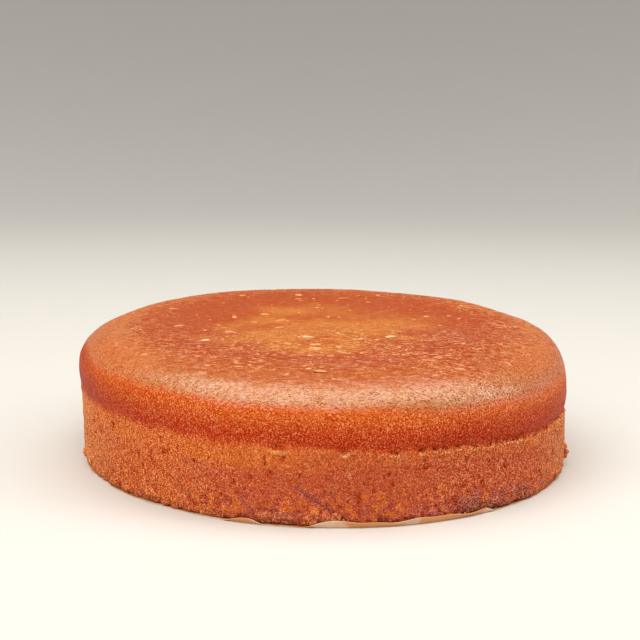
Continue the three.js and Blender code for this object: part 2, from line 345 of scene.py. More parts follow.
# How far the ends of such a stretch fade, in degrees, from which share on it rises, and its curl
LIP_FADE = 11.0
LIP_CLEAR = 0.6
LIP_CURL = 1.3

# Unevenness of the paper's edge: the depth and number of its crinkles, and the mean and waves of its rise
CRINKLE_DEPTH = 0.12 * MM
CRINKLES = 31
RISE_MEAN = 0.75
RISE_WAVES = ((19, 0.17, 0.6), (43, 0.08, 0.0))

# Rings of the paper's mesh, as shares of its radius, and the steps across its lip
PAPER_RINGS = (0.3, 0.7, 0.95)
LIP_STEPS = 5

# Sizes of the grain in the crust's finish
SHARP_GRAIN = 0.5 * MM
STREAK_GRAIN = 0.6 * MM
DUST_GRAIN = 0.9 * MM
LINE_GRAIN = 1.2 * MM
DASH_GRAIN = 1.9 * MM
PORE_GRAIN = 2.0 * MM
COARSE_GRAIN = 4.5 * MM
BLOTCH_GRAIN = 12 * MM
BROAD_GRAIN = 22 * MM

# How that grain is drawn out: below 1, longer from left to right, from front to back or upwards
LINE_STRETCH = (0.35, 1, 1)
DASH_STRETCH = (0.5, 1, 1)
BLOTCH_STRETCH = (0.7, 1, 1)
PORE_STRETCH = (1, 1, 0.6)

# From and to which value of the grain these grow: painted glints, painted shade, painted glints as pale
# dashes, blotches and damp spots
GRAIN_HIGH = (0.51, 0.65)
GRAIN_LOW = (0.5, 0.36)
PAINTED_DASHES = (0.65, 0.73)
BLOTCHES = (0.44, 0.7)
DAMP_SPOTS = (0.36, 0.6)

# Sizes of the grain in the other finishes
FLAKE_GRAIN = 1.2 * MM
CRUMB_GRAIN = 0.8 * MM
CRUMB_SPOTS = 4 * MM
PAPER_SOAK = 14 * MM
PAPER_FIBRE = 0.7 * MM
FLOOR_MOTTLE = 40 * MM

# How deep the bumps of the finishes are
CRUST_BUMP = 0.6 * MM
FLAKE_BUMP = 0.2 * MM
CRUMB_BUMP = 0.4 * MM
PAPER_BUMP = 0.1 * MM

# The floor's divisions round and outwards, and how far its curve goes up
FLOOR_SIDES = 96
FLOOR_STEPS = 12
FLOOR_RISE = math.pi / 3

# Width, height and place of each light, and how far aside the glow of the surround begins and is full
OVERHEAD_LIGHT = ((1.9, 0.9), (0.0, 0.03, 1.1))
RIGHT_LIGHT = ((1.0, 0.8), (1.4, -0.16, 0.85))
FRONT_LIGHT = ((2.8, 1.4), (-0.66, -1.2, 1.5))
GLOW_ASIDE = (0.25, 0.8)


class CakeForm(bpy.types.PropertyGroup):
    """Sizes of the cake."""

    foot_radius: FloatProperty(
        name="Foot radius", description="Radius of the side at its foot", default=100.1 * MM, unit="LENGTH"
    )
    tin_radius: FloatProperty(
        name="Tin radius",
        description="Radius of the side below the seam",
        default=100.5 * MM,
        unit="LENGTH",
    )
    crown_radius: FloatProperty(
        name="Crown radius",
        description="Radius of the crown at its widest",
        default=101.1 * MM,
        unit="LENGTH",
    )
    height: FloatProperty(
        name="Height", description="Height of the crown's edge", default=54.6 * MM, unit="LENGTH"
    )
    base: FloatProperty(
        name="Base", description="Height of the base above the table", default=0.55 * MM, unit="LENGTH"
    )
    foot_round: FloatProperty(
        name="Foot round", description="Radius of the edge round the base", default=1.2 * MM, unit="LENGTH"
    )
    seam_height: FloatProperty(
        name="Seam height", description="Mean height of the torn seam", default=28.5 * MM, unit="LENGTH"
    )
    seam_front: FloatProperty(
        name="Seam front",
        description="How much higher the seam is in front",
        default=1.3 * MM,
        unit="LENGTH",
    )
    seam_right: FloatProperty(
        name="Seam right",
        description="How much higher the seam is on the right",
        default=-3.7 * MM,
        unit="LENGTH",
    )
    seam_depth: FloatProperty(
        name="Seam depth", description="How far the seam is sunk", default=0.4 * MM, unit="LENGTH"
    )
    waist: FloatProperty(
        name="Waist", description="Height of the crown's widest line", default=34 * MM, unit="LENGTH"
    )
    shoulder_run: FloatProperty(
        name="Shoulder run", description="How far in the shoulder reaches", default=31 * MM, unit="LENGTH"
    )
    shoulder_power: FloatProperty(
        name="Shoulder power", description="Squareness of the shoulder, 2 is an ellipse", default=3.1
    )
    dish: FloatProperty(
        name="Dish", description="How far the middle of the top has sunk", default=1.2 * MM, unit="LENGTH"
    )
    lean: FloatProperty(
        name="Lean",
        description="How far the crown stands to the right of the foot",
        default=-2.4 * MM,
        unit="LENGTH",
    )
    tilt: FloatProperty(name="Tilt", description="Slope of the top, up towards the back", default=0.028)
    oval: FloatProperty(
        name="Oval", description="How far the cake is from round", default=0.35 * MM, unit="LENGTH"
    )
    sides: IntProperty(name="Sides", description="Divisions round the cake", default=1024, min=64)
    spacing: FloatProperty(
        name="Spacing",
        description="Distance between rings of the mesh on the crown",
        default=1.05 * MM,
        unit="LENGTH",
    )
    side_spacing: FloatProperty(
        name="Side spacing",
        description="Distance between rings of the mesh on the side",
        default=0.68 * MM,
        unit="LENGTH",
    )


class CrustColours(bpy.types.PropertyGroup):
    """Colours of the crust and the crumb, and the tints of light and shade painted on them."""

    # Partly darker crust and partly painted shade, where the crown is undercut above the seam
    deep: FloatVectorProperty(
        name="Deep crust",
        description="Crust just above the seam",
        default=(0.45, 0.036, 0.002),
        subtype="COLOR",
    )
    skin: FloatVectorProperty(
        name="Skin", description="Crust of the shoulder", default=(0.53, 0.090, 0.008), subtype="COLOR"
    )
    # Painted highlight: the golden tint of the shoulder's highlight in front
    edge: FloatVectorProperty(
        name="Edge",
        description="Crust along the shoulder's edge",
        default=(0.405, 0.131, 0.0215),
        subtype="COLOR",
    )
    # Painted sheen on the shoulder's edge at both sides
    brim: FloatVectorProperty(
        name="Brim",
        description="Crust of the shoulder's edge at both sides",
        default=(0.48, 0.126, 0.023),
        subtype="COLOR",
    )
    crest: FloatVectorProperty(
        name="Crest",
        description="Crust over the shoulder's crest",
        default=(0.40, 0.089, 0.014),
        subtype="COLOR",
    )
    ring: FloatVectorProperty(
        name="Ring", description="Darker ring on the top", default=(0.35, 0.061, 0.0155), subtype="COLOR"
    )
    blotch: FloatVectorProperty(
        name="Blotch",
        description="Darkest patches of the top",
        default=(0.36, 0.055, 0.007),
        subtype="COLOR",
    )
    middle: FloatVectorProperty(
        name="Middle", description="Pale middle of the top", default=(0.46, 0.148, 0.026), subtype="COLOR"
    )
    crumb: FloatVectorProperty(
        name="Crumb", description="Bare crumb of the side", default=(0.435, 0.067, 0.020), subtype="COLOR"
    )
    golden: FloatVectorProperty(
        name="Golden crumb",
        description="Crumb just below the seam",
        default=(0.55, 0.118, 0.015),
        subtype="COLOR",
    )
    hollow: FloatVectorProperty(
        name="Hollow", description="Crumb inside the pits", default=(0.58, 0.070, 0.005), subtype="COLOR"
    )
    # Painted shade in pores, inside pits and tears, and between the knobs of the foot
    painted_hole_shade: FloatVectorProperty(
        name="Pore",
        description="Crumb inside the smallest holes",
        default=(0.29, 0.025, 0.003),
        subtype="COLOR",
    )
    # Also painted as a sheen on the crumb at both sides
    crumb_pale: FloatVectorProperty(
        name="Pale crumb",
        description="Palest grains of the crumb",
        default=(0.88, 0.47, 0.18),
        subtype="COLOR",
    )
    # Painted shade: on the grains that lie deepest and on the dimmed skin above the seam
    shadow: FloatVectorProperty(
        name="Shadow",
        description="Tint of the grains that lie deepest",
        default=(0.68, 0.30, 0.06),
        subtype="COLOR",
    )
    # Painted glints on the grains that stand out
    painted_glint: FloatVectorProperty(
        name="Glint",
        description="Light added by the grains that stand out",
        default=(0.22, 0.165, 0.085),
        subtype="COLOR",
    )
    damp: FloatVectorProperty(
        name="Damp", description="Damp crumb along the foot", default=(0.37, 0.066, 0.060), subtype="COLOR"
    )
    # Painted shade under the foot and in the folds, mixed with damp crumb
    gap: FloatVectorProperty(
        name="Gap",
        description="Moist crumb in the folds and under the foot",
        default=(0.16, 0.028, 0.020),
        subtype="COLOR",
    )
    chip: FloatVectorProperty(
        name="Chip",
        description="Crumb where the skin has come off",
        default=(0.55, 0.19, 0.05),
        subtype="COLOR",
    )
    # Also the colour of the painted glints, as pale dashes, on the top
    flake: FloatVectorProperty(
        name="Flake", description="Loose flakes of skin", default=(0.74, 0.41, 0.22), subtype="COLOR"
    )


class PaperForm(bpy.types.PropertyGroup):
    """Sizes and colours of the baking paper."""

    thickness: FloatProperty(
        name="Thickness", description="Thickness of the paper", default=0.3 * MM, unit="LENGTH"
    )
    tuck: FloatProperty(
        name="Tuck", description="How far inside the foot the paper ends", default=0.8 * MM, unit="LENGTH"
    )
    show: FloatProperty(
        name="Show", description="How far past the foot its lip reaches", default=1.2 * MM, unit="LENGTH"
    )
    strip: FloatProperty(
        name="Strip",
        description="Width of its last strip where it lies flat",
        default=0.4 * MM,
        unit="LENGTH",
    )
    pale: FloatVectorProperty(
        name="Pale", description="Paper with little fat in it", default=(0.66, 0.44, 0.30), subtype="COLOR"
    )
    greasy: FloatVectorProperty(
        name="Greasy", description="Paper soaked with fat", default=(0.60, 0.25, 0.085), subtype="COLOR"
    )


class StudioSettings(bpy.types.PropertyGroup):
    """Camera, lights and floor."""

    eye: FloatVectorProperty(
        name="Eye",
        description="Place of the camera",
        default=(-1.7 * MM, -557 * MM, 158.9 * MM),
        subtype="XYZ",
    )
    pitch: FloatProperty(
        name="Pitch", description="How far the camera looks down", default=0.182, unit="ROTATION"
    )
    roll: FloatProperty(
        name="Roll", description="How far the camera is rolled", default=0.0125, unit="ROTATION"
    )
    lens: FloatProperty(name="Lens", description="Focal length on a 36 mm sensor", default=75.94)
    floor: FloatVectorProperty(
        name="Floor", description="Colour of the floor", default=(0.62, 0.615, 0.60), subtype="COLOR"
    )
    floor_radius: FloatProperty(
        name="Floor radius", description="Radius of the flat part of the floor", default=0.9, unit="LENGTH"
    )
    floor_curve: FloatProperty(
        name="Floor curve",
        description="Radius of the floor's curve round its edge",
        default=1.7,
        unit="LENGTH",
    )
    surround: FloatVectorProperty(
        name="Surround", description="Light from all round", default=(0.07, 0.07, 0.07), subtype="COLOR"
    )
    glow: FloatVectorProperty(
        name="Glow", description="Light from both sides", default=(0.34, 0.33, 0.32), subtype="COLOR"
    )
    warm: FloatVectorProperty(
        name="Warm", description="Colour of the lights", default=(1.0, 0.95, 0.87), subtype="COLOR"
    )
    overhead: FloatProperty(
        name="Overhead", description="Power of the light overhead", default=17.5, unit="POWER"
    )
    right_side: FloatProperty(
        name="Right side", description="Power of the light high on the right", default=8.6, unit="POWER"
    )
    fill: FloatProperty(name="Fill", description="Power of the light in front", default=41.0, unit="POWER")


def smooth_step(values, low, high):
    """0 below the low value, 1 above the high one, and smooth between them."""
    share = np.clip((values - low) / (high - low), 0, 1)
    return share * share * (3 - 2 * share)


def window(values, start, full, fade, end):
    """1 from where it is full to where it fades, and 0 before its start and after its end."""
    return smooth_step(values, start, full) * (1 - smooth_step(values, fade, end))


def bell(away, width):
    """1 where nothing is away, and falling to 0 over about twice that width."""
    return np.exp(-((away / width) ** 2))


def lerp(low, high, share):
    return low + (high - low) * share


def scatter(index, spread):
    """Numbers from 0 to 1 that fill that range evenly."""
    return (index * spread) % 1


def chance(index, salt):
    """A number from 0 to 1 that looks random and is always the same."""
    return (math.sin(index * 12.9898 + salt * 78.233) * 43758.5453) % 1


def centred(bearing):
    """Bearings from minus half a turn to half a turn."""
    return (bearing + math.pi) % TURN - math.pi


def lumps(points, layers, stretch=(1, 1, 1)):
    """Smooth noise at each point, as the sum of layers that each have a height, a size and a seed."""
    total = 0
    for height, size, seed in layers:
        away = Vector([seed * step for step in SEED_STEPS])
        places = points * np.array(stretch) / size
        total = total + height * np.array([noise.noise(Vector(place) + away) for place in places])
    return total


def seam_offset(form, bearing):
    """How far the seam stands above its mean height at a bearing."""
    height = form.seam_front * np.cos(bearing) + form.seam_right * np.sin(bearing)
    for waves, size, turn in SEAM_WAVES:
        height = height + size * np.sin(waves * bearing + turn)
    return height


def uneven_points(form, radius, height, bearing):
    """Points of the even outline, turned to their bearings and moved to where the uneven cake has them."""
    out = form.oval * np.cos(2 * (bearing - OVAL_TURN))
    for waves, size, turn, twist in SWELLINGS:
        out = out + size * np.sin(waves * bearing + turn + twist * height)
    top_edge = form.crown_radius - form.shoulder_run
    reach = radius + out * smooth_step(radius, SWELLING_INSET, top_edge)
    below = (height - form.base) / (form.seam_height - form.base)
    above = 1 - smooth_step(height, form.seam_height, SEAM_CALM)
    lifted = height + seam_offset(form, bearing) * np.minimum(below, above)
    x = reach * np.sin(bearing)
    y = -reach * np.cos(bearing)
    z = lifted
    crown = smooth_step(height, form.waist, form.height)
    for size, across, along, turn in SWELLS:
        z = z + crown * size * np.sin(x / across + y / along + turn)
    rise = (lifted - form.base) / (form.height - form.base)
    z = z + form.tilt * y * rise * rise
    x = x + form.lean * (rise - 0.5)
    return np.stack([x, y, z], axis=-1)


def side_points(form, bearing, height, sunk=0.0):
    """Points of the side at their bearings and even heights, sunk into it."""
    share = np.clip((height - form.base) / (form.seam_height - form.base), 0, 1)
    return uneven_points(form, lerp(form.foot_radius, form.tin_radius, share) - sunk, height, bearing)


def top_height(form, radius):
    """Height of the even top, which is dished."""
    top_edge = form.crown_radius - form.shoulder_run
    return form.height - form.dish * np.maximum(0, 1 - (radius / top_edge) ** 2)


class Outline:
    """The even outline from the middle of the base to the middle of the top, by the distance along it."""

    def __init__(self, form):
        turn = np.linspace(0, math.pi / 2, OUTLINE_STEPS)
        flat = np.linspace(0, 1, OUTLINE_STEPS)
        base_edge = form.foot_radius - form.foot_round
        top_edge = form.crown_radius - form.shoulder_run
        wall_foot = form.base + form.foot_round
        wall = lerp(wall_foot, form.waist, flat)
        groove = form.seam_depth * bell(wall - form.seam_height, SEAM_WIDTH)
        widening = smooth_step(wall, form.seam_height - WIDENING_START, form.waist)
        taper = np.clip((wall - wall_foot) / (form.seam_height - wall_foot), 0, 1)
        wall_radius = lerp(form.foot_radius, form.tin_radius, taper)
        wall_radius = lerp(wall_radius, form.crown_radius, widening) - groove
        power = 2 / form.shoulder_power
        inward = top_edge * (1 - flat)
        radii = [
            base_edge * flat,
            base_edge + form.foot_round * np.sin(turn),
            wall_radius,
            top_edge + form.shoulder_run * np.cos(turn) ** power,
            inward,
        ]
        heights = [
            np.full_like(flat, form.base),
            form.base + form.foot_round * (1 - np.cos(turn)),
            wall,
            lerp(form.waist, form.height, np.sin(turn) ** power),
            top_height(form, inward),
        ]
        self.radii = np.concatenate(radii)
        self.heights = np.concatenate(heights)
        steps = np.hypot(np.diff(self.radii), np.diff(self.heights))
        self.along = np.concatenate([[0], np.cumsum(steps)])
        self.foot = base_edge
        self.seam = np.interp(form.seam_height, wall, self.along[2 * OUTLINE_STEPS : 3 * OUTLINE_STEPS])
        self.length = self.along[-1]

    def at(self, along):
        """Radius and height at distances along the outline."""
        return np.interp(along, self.along, self.radii), np.interp(along, self.along, self.heights)


def ring_stations(form, outline):
    """Distance along the outline and number of sides of each ring of the mesh, between the two poles."""
    stations = []
    sides = form.sides // 2 ** len(BASE_RINGS)
    for share in BASE_RINGS:
        stations.append((outline.foot * share, sides))
        sides *= 2
    along = outline.foot * BASE_LAST_RING
    while along < outline.length - 1.5 * form.spacing:
        radius, _ = outline.at(along)
        above = along > outline.seam + SIDE_MESH_PAST_SEAM
        if above and sides > FEWEST_SIDES and radius * TURN / sides < 0.7 * form.spacing:
            sides //= 2
        stations.append((along, sides))
        along += form.spacing if above else form.side_spacing
    return stations


def joined_rings(counts):
    """Faces between rings of points that are numbered in order, whose counts may halve or double."""
    faces = []
    start = 0
    for lower, upper in zip(counts, counts[1:]):
        after = start + lower
        for i in range(max(lower, upper)):
            step = i + 1
            if lower == 1:
                faces.append((start, after + step % upper, after + i))
            elif upper == 1:
                faces.append((start + i, start + step % lower, after))
            elif lower == upper:
                faces.append((start + i, start + step % lower, after + step % upper, after + i))
            elif lower < upper:
                if i < lower:
                    left, middle, right = after + 2 * i, after + 2 * i + 1, after + (2 * i + 2) % upper
                    faces.append((start + i, middle, left))
                    faces.append((start + i, start + step % lower, middle))
                    faces.append((start + step % lower, right, middle))
            elif i < upper:
                left, middle, right = start + 2 * i, start + 2 * i + 1, start + (2 * i + 2) % lower
                faces.append((left, middle, after + i))
                faces.append((middle, after + step % upper, after + i))
                faces.append((middle, right, after + step % upper))
        start = after
    return faces


def smooth_object(name, points, faces, material):
    """A new smooth mesh object in the scene."""
    mesh = bpy.data.meshes.new(name)
    mesh.from_pydata(np.asarray(points).tolist(), [], faces)
    mesh.validate()
    mesh.polygons.foreach_set("use_smooth", [True] * len(mesh.polygons))
    mesh.materials.append(material)
    made = bpy.data.objects.new(name, mesh)
    bpy.context.scene.collection.objects.link(made)
    return made


def make_piece(name, points, faces, material, attributes=None):
    """A piece that rides on the cake's body, with values at its points for its finish."""
    piece = smooth_object(name, points, faces, material)
    for key, values in (attributes or {}).items():
        layer = piece.data.attributes.new(key, "FLOAT", "POINT")
        layer.data.foreach_set("value", np.asarray(values, np.float32))
    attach(piece, "root")
    return piece


class Value:
    """A shader value that takes part in Python sums."""

    def __init__(self, finish, socket):
        self.finish = finish
        self.socket = socket

    def math(self, operation, *others):
        return self.finish.node("Math", {"operation": operation}, dict(enumerate((self, *others))))

    def __add__(self, other):
        return self.math("ADD", other)

    __radd__ = __add__

    def __sub__(self, other):
        return self.math("SUBTRACT", other)

    def __rsub__(self, other):
        return (self * -1) + other

    def __mul__(self, other):
        return self.math("MULTIPLY", other)

    __rmul__ = __mul__

    def between(self, low, high):
        """0 below the low value, 1 above the high one, and smooth between them."""
        settings = {"interpolation_type": "SMOOTHSTEP"}
        return self.finish.node("MapRange", settings, {"Value": self, "From Min": low, "From Max": high})


class Finish:
    """The nodes that a material or a world is made of."""

    def __init__(self, owner):
        owner.use_nodes = True
        self.owner = owner
        self.tree = owner.node_tree
        self.tree.nodes.clear()
        self.place = self.node("TexCoord", output="Object")

    def node(self, kind, settings=None, inputs=None, output=0):
        """One output of a new node, whose settings are made first and then its sockets' values."""
        made = self.tree.nodes.new("ShaderNode" + kind)
        for key, value in (settings or {}).items():
            if key == "stops":
                ramp = made.color_ramp
                while len(ramp.elements) < len(value):
                    ramp.elements.new(0.5)
                for element, (position, colour) in zip(ramp.elements, value):
                    element.position = position
                    element.color = (*colour, 1)
            else:
                setattr(made, key, value)
        for key, value in (inputs or {}).items():
            socket = made.inputs[key]
            if isinstance(value, Value):
                self.tree.links.new(value.socket, socket)
            elif socket.type == "RGBA":
                socket.default_value = (*value, 1)
            else:
                socket.default_value = value
        return Value(self, made.outputs[output]) if made.outputs else None

    def attributes(self, *names):
        """Values that the mesh holds at its points."""
        return [self.node("Attribute", {"attribute_name": name}, output="Fac") for name in names]

    def stretched(self, stretch):
        """The place on the object, with what lies there drawn out where the stretch is below 1."""
        return self.node("VectorMath", {"operation": "MULTIPLY"}, {0: self.place, 1: stretch})

    def grains(self, size, detail=2.0, stretch=(1, 1, 1)):
        """Noise from 0 to 1 in grains of about that size."""
        inputs = {"Vector": self.stretched(stretch), "Scale": 1 / size, "Detail": detail}
        return self.node("TexNoise", None, inputs)

    def dots(self, size, widest, stretch):
        """Dots of many sizes at some scattered places: 1 inside them and 0 outside."""
        inputs = {"Vector": self.stretched(stretch), "Scale": 1 / size}
        away = self.node("TexVoronoi", None, inputs, "Distance")
        luck = self.node("TexVoronoi", None, inputs, "Color")
        return (luck.between(0.55, 0.95) * widest - away).between(0.0, 0.1)

    def blend(self, low, high, share, kind="MIX"):
        """A mix of two colours."""
        settings = {"data_type": "RGBA", "blend_type": kind}
        return self.node("Mix", settings, {0: share, 6: low, 7: high}, output=2)

    def ramp(self, value, stops):
        return self.node("ValToRGB", {"stops": stops}, {"Fac": value}, "Color")

    def bump(self, height, depth):
        return self.node("Bump", None, {"Strength": 1.0, "Distance": depth, "Height": height})

    def surface(self, inputs):
        shader = self.node("BsdfPrincipled", None, inputs)
        self.node("OutputMaterial", None, {"Surface": shader})
        return self.owner


def grain_light_and_shade_masks(finish, sharp, dust, over, front, grit):
    """Where the crust's grains stand out and where they lie deep between, as masks for painted glints and
    painted shade.
    """
    streaks = finish.grains(STREAK_GRAIN, 1, LINE_STRETCH)
    lines = finish.grains(LINE_GRAIN, 2, LINE_STRETCH)
    shoulder = over.between(*SHOULDER_ZONE)
    top = over.between(*TOP_ZONE)
    flat = over.between(*FLAT_ZONE)
    rough = sharp * 0.75 + dust * 0.25
    grain = rough + (streaks * 0.5 + sharp * 0.5 - rough) * shoulder
    grain = grain + ((dust * 0.5 + lines * 0.5) * 1.4 - 0.2 - grain) * top
    shown = grit * (1 - top * (0.12 + (1 - front) * flat * 0.6))
    high = grain.between(*GRAIN_HIGH) * shown
    low = grain.between(*GRAIN_LOW) * shown * (1 - shoulder * 0.15) * (1 - top * 0.4)
    return high, low


def skin_colour(finish, colours, over, edge, brim, pale):
    """Colour of the browned skin, in zones from the seam to the middle of the top, with painted shade in its
    deep zone, a painted highlight tint in front and a painted sheen at both sides.
    """
    stops = []
    for name, start, end in CROWN_COLOURS:
        stops.append((start, getattr(colours, name)))
        stops.append((end, getattr(colours, name)))
    broad = finish.grains(BROAD_GRAIN)
    blotches = finish.grains(BLOTCH_GRAIN, 5, BLOTCH_STRETCH).between(*BLOTCHES)
    # The deep zone next to the seam is partly painted shade
    skin = finish.ramp(over + (broad - 0.5) * 0.06, stops)
    # Painted highlight tint along the shoulder in front, and painted sheen at both sides
    skin = finish.blend(skin, colours.edge, edge)
    skin = finish.blend(skin, colours.brim, brim)
    skin = finish.blend(skin, colours.middle, pale)
    return finish.blend(skin, colours.blotch, over.between(*FLAT_ZONE) * blotches * 0.85)


def crumb_colour(finish, colours, coarse, high):
    """Colour of the bare crumb below the seam, with painted shade between the knobs of the foot, along the
    foot and in the folds, painted light on the knobs and a painted sheen at both sides.
    """
    golden, damp, knob = finish.attributes("golden", "damp", "knob")
    ledge, fold, rise = finish.attributes("ledge", "fold", "rise")
    uneven = coarse - 0.5
    side = finish.blend(colours.crumb, colours.golden, (golden + uneven * 0.6).between(0.2, 0.8))
    side = finish.blend(side, colours.damp, damp * coarse.between(*DAMP_SPOTS))
    # Painted shade in the hollows between the knobs of the foot, and painted light as golden crumb on their
    # tops
    side = finish.blend(side, colours.painted_hole_shade, knob.between(-0.1, -0.45) * 0.45)
    side = finish.blend(side, colours.golden, knob.between(-0.02, 0.35) * 0.9)
    # Pale ledges and clots, and a painted sheen at both sides, strongest on the grains that stand out
    side = finish.blend(side, colours.crumb_pale, ledge * (0.3 + high * 0.7))
    side = finish.blend(side, colours.damp, fold.between(0.05, 0.5) * 0.65)
    # Painted shade mixed with damp crumb in the cores of the folds and of the bruise
    side = finish.blend(side, colours.gap, fold.between(0.6, 1.0) * 0.5)
    # Painted shade along the foot, deeper where the crumb is damp
    under = (rise + uneven * 0.1).between(0.07, 0.025)
    return finish.blend(side, colours.gap, under * (0.1 + damp * 0.8))


def crust_finish(colours):
    """Browned skin above the seam and bare crumb below it."""
    finish = Finish(bpy.data.materials.new("browned_crust"))
    crumb, hollow, gloss, grit, dim = finish.attributes("crumb", "hollow", "gloss", "grit", "dim")
    over, edge, brim, pale, front = finish.attributes("over", "edge", "brim", "pale", "front")
    coarse = finish.grains(COARSE_GRAIN, 3)
    pores = finish.dots(PORE_GRAIN, 0.42, PORE_STRETCH)
    sharp = finish.grains(SHARP_GRAIN, 1)
    dust = finish.grains(DUST_GRAIN, 2)
    high, low = grain_light_and_shade_masks(finish, sharp, dust, over, front, grit)
    torn = (crumb + (coarse - 0.5) * 0.5).between(0.0, 1.0)
    pores = pores * torn

    # Skin and crumb, then the insides of pits and pores, with painted shade in them
    colour = skin_colour(finish, colours, over, edge, brim, pale)
    colour = finish.blend(colour, crumb_colour(finish, colours, coarse, high), torn)
    inside = (hollow + (sharp - 0.5) * 0.3).between(0.42, 0.56)
    colour = finish.blend(colour, colours.hollow, inside)
    colour = finish.blend(colour, colours.painted_hole_shade, inside * (0.35 + low * 0.65))
    colour = finish.blend(colour, colours.painted_hole_shade, pores * 0.8)

    # Grain as painted glints and painted shade, painted shade above the seam, and painted glints as small
    # pale dashes on the top
    colour = finish.blend(colour, colours.shadow, low, "MULTIPLY")
    colour = finish.blend(colour, colours.painted_glint, high * (1 - gloss * 0.5), "ADD")
    colour = finish.blend(colour, colours.shadow, dim * (1 - torn) * 0.5, "MULTIPLY")
    painted_dashes = finish.grains(DASH_GRAIN, 1, DASH_STRETCH).between(*PAINTED_DASHES)
    colour = finish.blend(colour, colours.flake, painted_dashes * over.between(*TOP_ZONE) * front * 0.6)

    bumps = sharp * 0.6 + dust * 0.5 - pores * 0.2 + coarse * torn
    return finish.surface(
        {
            "Base Color": colour,
            "Roughness": 0.45 + torn * 0.3 + (coarse - 0.5) * 0.15,
            "Specular IOR Level": 0.05,
            "Coat Weight": (gloss * (1 - torn) + torn * 0.08) * (0.62 + high * 0.25 - low * 0.5),
            "Coat Roughness": 0.36,
            "Coat IOR": 2.0,
            "Normal": finish.bump(bumps, CRUST_BUMP),
        }
    )


def flake_finish(colours):
    """Thin, pale and shiny skin, browner at its rim."""
    finish = Finish(bpy.data.materials.new("loose_skin"))
    tone, rim = finish.attributes("tone", "rim")
    fine = finish.grains(FLAKE_GRAIN)
    colour = finish.blend(colours.chip, colours.flake, (tone + (fine - 0.5) * 0.8).between(0.2, 1.0))
    colour = finish.blend(colour, colours.ring, (rim + (fine - 0.5) * 0.9).between(0.6, 1.1) * 0.6)
    return finish.surface(
        {
            "Base Color": colour,
            "Roughness": 0.35 + fine * 0.2,
            "IOR": 1.4,
            "Normal": finish.bump(fine, FLAKE_BUMP),
        }
    )


def crumb_finish(colours):
    """Torn crumb."""
    finish = Finish(bpy.data.materials.new("torn_crumb"))
    fine = finish.grains(CRUMB_GRAIN)
    coarse = finish.grains(CRUMB_SPOTS)
    colour = finish.blend(colours.golden, colours.crumb_pale, fine.between(0.45, 0.7) * 0.4)
    colour = finish.blend(colour, colours.damp, coarse.between(0.45, 0.7) * 0.7)
    return finish.surface(
        {
            "Base Color": colour,
            "Roughness": 0.55 + fine * 0.2,
            "Normal": finish.bump(fine, CRUMB_BUMP),
        }
    )


def paper_finish(paper):
    """Baking paper, soaked with fat in places."""
    finish = Finish(bpy.data.materials.new("greased_paper"))
    soak = finish.grains(PAPER_SOAK)
    fibre = finish.grains(PAPER_FIBRE)
    colour = finish.blend(paper.pale, paper.greasy, soak.between(0.38, 0.54))
    colour = finish.blend(colour, paper.greasy, fibre.between(0.5, 0.8) * 0.4)
    return finish.surface(
        {
            "Base Color": colour,
            "Roughness": 0.35 + fibre * 0.2,
            "Normal": finish.bump(fibre, PAPER_BUMP),
        }
    )


def floor_finish(colour):
    """The floor's even, matt finish."""
    finish = Finish(bpy.data.materials.new("pale_floor"))
    mottle = finish.grains(FLOOR_MOTTLE)
    shade = finish.blend(colour, tuple(0.985 * part for part in colour), mottle)
    return finish.surface({"Base Color": shade, "Roughness": 0.6})


def foot_clots():
    """Bearing, height and size of each crumb that has grown to the foot."""
    found = []
    for i in range(FOOT_CLOTS):
        bearing = (i + scatter(i, SPREAD_B)) / FOOT_CLOTS * TURN
        size = lerp(*FOOT_CLOT_SIZES, scatter(i + 3, SPREAD_A))
        found.append((bearing, CLOT_FOOT + size + CLOT_SPREAD * scatter(i, SPREAD_A), size))
    for i in range(FRONT_CLOTS):
        bearing = math.radians(lerp(*FRONT_CLOT_SPAN, (i + 0.5) / FRONT_CLOTS))
        size = lerp(*FRONT_CLOT_SIZES, scatter(i + 2, SPREAD_A))
        found.append((bearing, CLOT_FOOT + size + CLOT_SPREAD * scatter(i, SPREAD_B), size))
    return found


def side_pits(form):
    """Bearing, height, half width, half height and depth of each pit in the side."""
    found = []
    count, sizes, foot, clear, slim, depth = LARGE_PITS
    for i in range(count):
        size = lerp(*sizes, scatter(i + 1, SPREAD_A + SPREAD_B))
        level = lerp(foot, form.seam_height - clear, scatter(i + 1, SPREAD_B))
        found.append((scatter(i + 1, SPREAD_A) * TURN, level, size, slim * size, depth))
    count, sizes, foot, clear, slim, depth = SMALL_PITS
    for i in range(count):
        size = lerp(*sizes, scatter(i + 7, SPREAD_A + SPREAD_B) ** 2)
        level = lerp(foot, form.seam_height - clear, scatter(i + 5, SPREAD_B) ** SMALL_PITS_LOW)
        found.append((scatter(i + 3, SPREAD_A) * TURN, level, size, slim * size, depth))
    return found


def front_tears():
    """Bearing in degrees, half width and half height of each tear of the seam in front."""
    found = list(SEAM_TEARS)
    for i in range(RIGHT_TEARS):
        place = lerp(*RIGHT_TEAR_SPAN, (i + chance(i, 31)) / RIGHT_TEARS)
        wide = lerp(*RIGHT_TEAR_WIDE, chance(i, 32))
        found.append((place, wide, lerp(*RIGHT_TEAR_TALL, chance(i, 33))))
    return found


